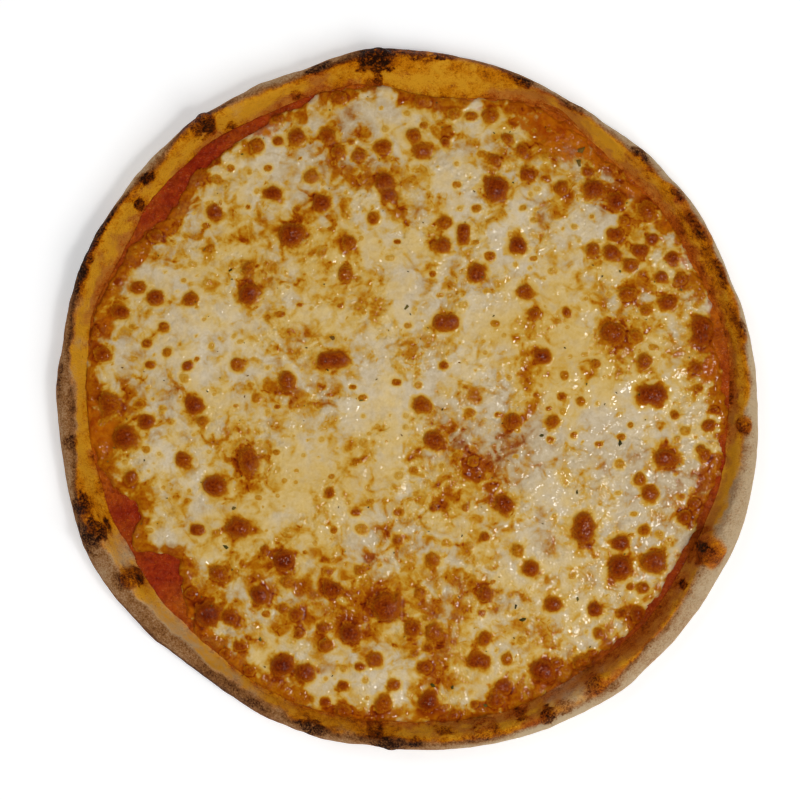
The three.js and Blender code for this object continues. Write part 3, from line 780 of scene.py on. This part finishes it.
def make_sauce(material):
    angle = np.linspace(0, 2 * np.pi, SAUCE_SEGMENTS, endpoint=False)
    edge = sauce_edge(angle)
    insets = np.array([SAUCE_FOOT_INSET, *SAUCE_INSETS])
    level = np.full((SAUCE_SEGMENTS, len(insets)), SAUCE_BOTTOM)
    rows = turned(edge[:, None] - insets, angle[:, None], level)
    rows[:, 1:, 2] = sauce_top(rows[:, 1:, 0].ravel(), rows[:, 1:, 1].ravel()).reshape(SAUCE_SEGMENTS, -1)
    points = np.vstack([rows.reshape(-1, 3), [(0, 0, SAUCE_BOTTOM), (0, 0, SAUCE_TOP)]])
    turn = np.arctan2(points[:, 1], points[:, 0])
    masks = {"red": np.clip(swell(RED_SWELLS, turn) + 0.3 * layered(points * (1, 1, 0), 9, 51), 0, 1)}
    faces = turned_faces(len(insets), SAUCE_SEGMENTS)
    return make_piece("tomato_sauce", points, faces, masks, material, "sauce")


def sauce_material():
    s = Shader("cooked_tomato")
    broad, pulp, seeds = s.noise(7, 3), s.noise(2.2, 4, 0.65), s.noise(0.8, 2)
    depth = s.step(broad * 0.5 + pulp * 0.7, -0.9, 1.0)
    red = s.mix(depth, colour(130, 28, 8), colour(172, 56, 14))
    stained = s.mix(depth, colour(148, 62, 8), colour(196, 104, 14))
    base = s.mix(s.mask("red"), stained, red)
    base = s.mix(s.step(seeds + broad * 0.4, 0.7, 1.4), base, colour(182, 104, 20))
    normal = s.bump(pulp * 0.6 + seeds * 0.2, BUMP_DEPTH)
    s.surface.inputs["Specular IOR Level"].default_value = 0.05
    s.surface.inputs["Coat Weight"].default_value = 0.5
    s.surface.inputs["Coat Roughness"].default_value = 0.12
    s.put(s.surface.inputs["Coat Normal"], normal)
    return s.finish(Base_Color=base, Roughness=0.4, Normal=normal)


# ---- Cheese ----
def random_draws(seed):
    """The minimal standard generator of Park and Miller, as in the solid."""
    state = seed
    while True:
        state = state * 48271 % 2147483647
        yield state / 2147483647


def strewn(count, sizes, spacing, seed, taken, tries=MOST_TRIES):
    """Places on the cheese, clear of its edge and of what is taken, and spaced from each other."""
    draw = random_draws(seed)
    placed = []
    for _ in range(tries):
        if len(placed) == count:
            break
        angle = 2 * math.pi * next(draw)
        radius = math.sqrt(next(draw)) * (float(cheese_edge(np.array(angle))) - sizes[1])
        across = sizes[0] + (sizes[1] - sizes[0]) * next(draw)
        turn = 360 * next(draw)
        x, y = radius * math.cos(angle), radius * math.sin(angle)
        free = all(math.hypot(x - row[0], y - row[1]) > (across + row[2]) / 2 + CLEARANCE for row in taken)
        spaced = all(math.hypot(x - row[0], y - row[1]) > spacing for row in placed)
        if free and spaced:
            placed.append((x, y, across, turn))
    return placed


def blister_rows():
    """Every blister as x, y, length, width, rise as a share of its width, and darkness."""
    small = strewn(*SMALL_BLISTERS, BY_HAND)
    taken = BY_HAND + small + EDGE_BLISTERS
    fine = strewn(*FINE_BLISTERS, taken, FINE_TRIES)
    spots = strewn(*SPOTS, taken + fine, FINE_TRIES)
    draw = random_draws(BLISTER_SEED)
    rows = [(x, y, a, b, BLISTER_RISE, 0.7 + 0.3 * next(draw)) for x, y, a, b in LARGE_BLISTERS]
    rows += [(x, y, a, b, BLISTER_RISE, 0.5 + 0.4 * next(draw)) for x, y, a, b in MEDIUM_BLISTERS]
    rows += [(x, y, a, a * (0.75 + 0.25 * next(draw)), BLISTER_RISE, dark) for x, y, a, dark in EDGE_BLISTERS]
    rows += [(x, y, a, a, BLISTER_RISE, 0.3 + 0.4 * next(draw)) for x, y, a, _ in small]
    rows += [
        (x, y, a, a * (0.6 + 0.4 * next(draw)), FINE_RISE, 0.05 + 0.4 * next(draw)) for x, y, a, _ in fine
    ]
    rows += [(x, y, a, a, SPOT_RISE, 0.02 + 0.14 * next(draw)) for x, y, a, _ in spots]
    return rows


def cheese_face(x, y, flat, inside):
    """Height of the cheese: as the solid's, draped on the sauce near its edge, and sunk in past it."""
    under = np.maximum(sauce_top(x, y), dough_ground(x, y) - 0.4)
    drape = under + 1.7 * smooth(-1.2, 3.0, inside) - SUNK * smooth(0.4, -1.4, inside)
    spread = smooth(1.5, 8.0, inside)
    relief = uneven(CHEESE_RELIEF, flat) * smooth(-0.5, 2.5, inside)
    return drape * (1 - spread) + cheese_top(x, y) * spread + relief


def raise_blisters(x, y, flat, top):
    """Adds the blisters to the face, and returns how near one is to each point and how dark it is."""
    blister, scorch = np.zeros_like(x), np.zeros_like(x)
    wobble, frayed = uneven(BLISTER_WOBBLE, flat), uneven(BLISTER_FRAY, flat)
    for u, v, length, width, rise, dark in blister_rows():
        near = np.nonzero((np.abs(x - u) < length * HALO) & (np.abs(y - v) < width * HALO))[0]
        half = min(length, width) / 2
        along = np.maximum(np.abs(x[near] - u) - (length / 2 - half), 0)
        aside = np.maximum(np.abs(y[near] - v) - (width / 2 - half), 0)
        reach = np.hypot(along, aside) / half * (1 + wobble[near]) + frayed[near]
        cap = np.sqrt(np.clip(1 - reach**2, 0, 1)) * smooth(1.03, 0.72, reach)
        top[near] += rise * min(length, width) * cap
        halo = np.clip(1 - reach / HALO, 0, 1)
        scorch[near] = np.where(halo > blister[near], dark, scorch[near])
        blister[near] = np.maximum(halo, blister[near])
    return blister, scorch


def make_cheese(material):
    disc, quads, loop = disc_cells(CHEESE_CELLS)
    angle = np.arctan2(disc[:, 1], disc[:, 0])
    outer = cheese_edge(angle) + CHEESE_SKIRT
    x, y = disc[:, 0] * outer, disc[:, 1] * outer
    flat = np.stack([x, y, np.zeros_like(x)], axis=1)

    ragged = 2.0 * layered(flat, 12, 61) + uneven(RAGGED_EDGE, flat)
    bare = sauce_edge(angle) - cheese_edge(angle)
    edge = cheese_edge(angle) + CHEESE_LAP * smooth(10, 4, bare) + ragged
    against = sauce_edge(angle) + 0.6 + uneven(EDGE_ON_RIM, flat)
    inside = np.minimum(edge, against) - np.hypot(x, y)
    top = cheese_face(x, y, flat, inside)
    blister, scorch = raise_blisters(x, y, flat, top)

    bottom = np.stack([x[loop], y[loop], np.minimum(top[loop] - 0.4, CHEESE_FOOT)], axis=1)
    points = np.vstack([np.stack([x, y, top], axis=1), bottom, [(0, 0, CHEESE_FOOT)]])
    first, centre = len(x), len(x) + len(loop)
    faces = quads.tolist()
    for i, corner in enumerate(loop):
        j = (i + 1) % len(loop)
        faces.append((loop[j], corner, first + i, first + j))
        faces.append((centre, first + j, first + i))

    masks = {
        "blister": blister,
        "scorch": scorch,
        "orange": patches(ORANGE_PATCHES, x, y) + 0.35 * layered(flat, 16, 91),
        "yellow": patches(YELLOW_PATCHES, x, y) + 0.4 * layered(flat, 14, 92),
        "pale": patches(PALE_PATCHES, x, y) + 0.4 * layered(flat, 12, 93),
        "blush": patches(BLUSH_PATCHES, x, y) + 0.4 * layered(flat, 10, 94),
        "thin": smooth(12, 0, inside) * (0.7 + swell(THIN_SWELLS, angle) + 1.7 * layered(flat, 6, 96)),
        "sauced": patches(SAUCED_PATCHES, x, y) + 0.25 * layered(flat, 6, 95),
    }
    masks = {name: np.append(values, np.zeros(len(loop) + 1)) for name, values in masks.items()}
    return make_piece("melted_cheese", points, faces, masks, material, "cheese")


def cheese_material():
    s = Shader("baked_mozzarella")
    broad, curd = s.noise(17, 2), s.noise(7, 2, 0.5, 0.8)
    small, fine = s.noise(2.8, 2, 0.5, 0.4), s.noise(1.1, 2)
    stain = s.mask("orange") * 0.9 + s.mask("thin") * 1.4 - s.mask("pale") * 0.5
    stain = stain + broad * 0.5 + curd * 0.65 + small * 0.3
    stained = s.step(stain, -0.45, 1.25)
    smears = s.step(s.noise(4, 2, 0.5, 1.0), 0.25, 1.0) * s.step(broad + curd * 0.5, -0.7, 0.7)
    shade = 1.7 - stained * 2.9 - smears * 0.9 - s.mask("yellow") * 0.35 - s.mask("blush") * 0.5
    shade = shade + small * 0.3 + fine * 0.2 + s.mask("pale") * 0.15
    scorch = s.mask("scorch")
    ring = s.mask("blister") + small * 0.08 + fine * 0.03
    shade = shade - s.step(ring, 0.04, 0.4) * s.step(scorch, 0.1, 0.7) * 1.1
    baked = -0.65 - scorch * 0.8 - s.step(ring, 0.42, 0.8) * scorch * 0.9 + small * 0.3 + fine * 0.4
    shade = s.blend(s.step(ring, 0.28, 0.5) * s.step(scorch, 0.0, 0.4, 0.5, 1.0), shade, baked)
    oily = 0.4 + stained * 0.6 + smears * 0.4 + s.noise(8, 2) * 0.3
    oily = oily + s.mask("yellow") * 0.6 - s.mask("blush") * 0.6 + s.step(ring, 0.0, 0.35)
    dry, oiled = [s.ramp(shade, stops) for stops in (DRY_SHADES, OILY_SHADES)]
    pool = s.mix(s.step(curd * 0.6 + small * 0.5, -1.0, 1.0), colour(150, 50, 2), colour(190, 104, 6))
    sauced = s.step(s.mask("sauced") + small * 0.2 + curd * 0.15, 0.35, 0.8) * s.step(ring, 0.46, 0.3) * 0.85
    base = s.mix(sauced, s.mix(s.step(oily, 0.0, 1.0), dry, oiled), pool)
    wrinkled = s.step(ring, 0.4, 0.6) * s.noise(1.6, 2)
    lumpy = s.step(s.noise(15, 2), -0.6, 0.8, 0.3, 1.1)
    normal = s.bump((s.noise(5, 1) * 0.55 + s.noise(2.2, 1) * 0.4) * lumpy + wrinkled * 0.3, BUMP_DEPTH)
    s.surface.inputs["Specular IOR Level"].default_value = 0.05
    s.surface.inputs["Coat Weight"].default_value = 0.9
    s.surface.inputs["Coat Roughness"].default_value = 0.08
    s.put(s.surface.inputs["Coat Normal"], normal)
    return s.finish(Base_Color=base, Roughness=0.4, Normal=normal)


# ---- Herb flakes ----
def flake_rows():
    """Every flake as x, y, length and turn: the solid's own, and tiny specks."""
    taken = BY_HAND + strewn(*SMALL_BLISTERS, BY_HAND)
    flakes = LARGE_FLAKES + strewn(*STREWN_FLAKES, taken)
    return flakes + strewn(*SPECKS, flakes)


def flake_outline(x, y, height, length, turn, curl):
    """Points round the ragged outline of one side of a flake, which is curled along its length."""
    spin = math.radians(turn)
    points = []
    for corner in range(FLAKE_CORNERS):
        around = 2 * math.pi * corner / FLAKE_CORNERS
        reach = length / 2 * (1 + FLAKE_RAGGEDNESS * math.sin(2.3 * corner + turn))
        u, v = reach * math.cos(around), FLAKE_WIDTH_SHARE * reach * math.sin(around)
        across = x + u * math.cos(spin) - v * math.sin(spin)
        away = y + u * math.sin(spin) + v * math.cos(spin)
        points.append((across, away, height + curl * math.cos(around)))
    return points


def make_flakes(cheese, material):
    """Thin, slightly curled flakes with ragged outlines, laid on the cheese's fine face."""
    face = np.array([vertex.co for vertex in cheese.data.vertices])[: (CHEESE_CELLS + 1) ** 2] / MM
    draw = random_draws(SPECK_SEED)
    points, faces, tints = [], [], []
    for x, y, length, turn in flake_rows():
        nearest = np.argmin((face[:, 0] - x) ** 2 + (face[:, 1] - y) ** 2)
        middle = face[nearest, 2] + FLAKE_LIFT
        thick = FLAKE_THICKNESS * length**0.5
        curl, tint = FLAKE_CURL * length * next(draw), next(draw)
        lower = len(points)
        upper = lower + FLAKE_CORNERS + 1
        for side in (-1, 1):
            points.append((x, y, middle + side * thick + curl * 0.5))
            points += flake_outline(x, y, middle + side * thick * 0.6, length, turn, curl)
        for corner in range(1, FLAKE_CORNERS + 1):
            ahead = corner % FLAKE_CORNERS + 1
            faces.append((upper, upper + corner, upper + ahead))
            faces.append((lower, lower + ahead, lower + corner))
            faces.append((lower + corner, lower + ahead, upper + ahead, upper + corner))
        tints += [tint] * (2 * FLAKE_CORNERS + 2)
    return make_piece("herb_flakes", points, faces, {"tint": tints}, material, None)


def herb_material():
    s = Shader("dried_herb")
    base = s.ramp(s.mask("tint") + s.noise(0.8, 2) * 0.1, HERB_SHADES)
    s.surface.inputs["Specular IOR Level"].default_value = 0.2
    return s.finish(Base_Color=base, Roughness=0.6, Normal=s.bump(s.noise(0.5, 2) * 0.1, 0.3))


# ---- Stage, camera and lights (m) ----
PIXEL = 0.459 * MM  # size of a pixel of the 800-pixel picture at the pizza's outline
PICTURE = 800
CENTRE_PIXEL = (406.5, 399)
CAMERA_HEIGHT = 0.95
FLOOR_REACH = 2.5
FLOOR_DROP = 0.0002
FLOOR_GLOW = 0.25
# The sky's strength falls from the first to the last as a direction rises from the horizon to overhead.
SKY_RISE = (0.1, 0.9)
SKY_STRENGTH = (0.7, 0.02)
# Softboxes: name, place, size, watts, and whether it shows in gloss.
LIGHTS = [
    ("key", (0.6, -0.65, 1.15), 0.8, 10.3, False),
    ("glint", (0.6, -0.26, 1.25), 0.2, 3.2, True),
    ("fill", (-0.8, 0.6, 1.2), 0.9, 6.5, False),
]


def make_camera():
    camera = bpy.data.cameras.new("camera")
    half = PICTURE / 2
    camera.angle = 2 * math.atan(half * PIXEL / (CAMERA_HEIGHT - BELLY_HEIGHT * MM))
    holder = add_object("camera", camera)
    holder.location = ((half - CENTRE_PIXEL[0]) * PIXEL, (CENTRE_PIXEL[1] - half) * PIXEL, CAMERA_HEIGHT)
    bpy.context.scene.camera = holder


def make_light(name, place, size, watts, mirrored):
    """A square softbox that points at the pizza's middle."""
    light = bpy.data.lights.new(name, "AREA")
    light.size = size
    light.energy = watts
    holder = add_object(name, light)
    holder.location = place
    holder.rotation_euler = (-Vector(place)).to_track_quat("-Z", "Y").to_euler()
    holder.visible_glossy = mirrored


def make_stage():
    mesh = bpy.data.meshes.new("floor")
    corners = [(x * FLOOR_REACH, y * FLOOR_REACH, 0) for x, y in ((-1, -1), (1, -1), (1, 1), (-1, 1))]
    mesh.from_pydata(corners, [], [(0, 1, 2, 3)])
    s = Shader("pale_floor")
    s.surface.inputs["Emission Strength"].default_value = FLOOR_GLOW
    pale = s.finish(Base_Color=(0.92, 0.92, 0.92), Emission_Color=(1.0, 1.0, 1.0), Roughness=0.9)
    mesh.materials.append(pale)
    floor = add_object("floor", mesh)
    floor.location.z = -FLOOR_DROP


def make_world():
    """White light, strong near the horizon and dim overhead."""
    world = bpy.data.worlds.new("studio")
    world.use_nodes = True
    tree = world.node_tree
    direction = tree.nodes.new("ShaderNodeTexCoord").outputs["Generated"]
    parts = tree.nodes.new("ShaderNodeSeparateXYZ")
    dim = tree.nodes.new("ShaderNodeMapRange")
    background = tree.nodes["Background"]
    background.inputs["Color"].default_value = (1, 1, 1, 1)
    set_range(dim, (*SKY_RISE, *SKY_STRENGTH))
    tree.links.new(direction, parts.inputs[0])
    tree.links.new(parts.outputs["Z"], dim.inputs["Value"])
    tree.links.new(dim.outputs["Result"], background.inputs["Strength"])
    world.cycles_visibility.glossy = False
    bpy.context.scene.world = world
    bpy.context.scene.view_settings.view_transform = "Standard"


def main():
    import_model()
    make_camera()
    make_stage()
    make_world()
    for light in LIGHTS:
        make_light(*light)
    make_crust(crust_material())
    make_sauce(sauce_material())
    cheese = make_cheese(cheese_material())
    make_flakes(cheese, herb_material())


main()
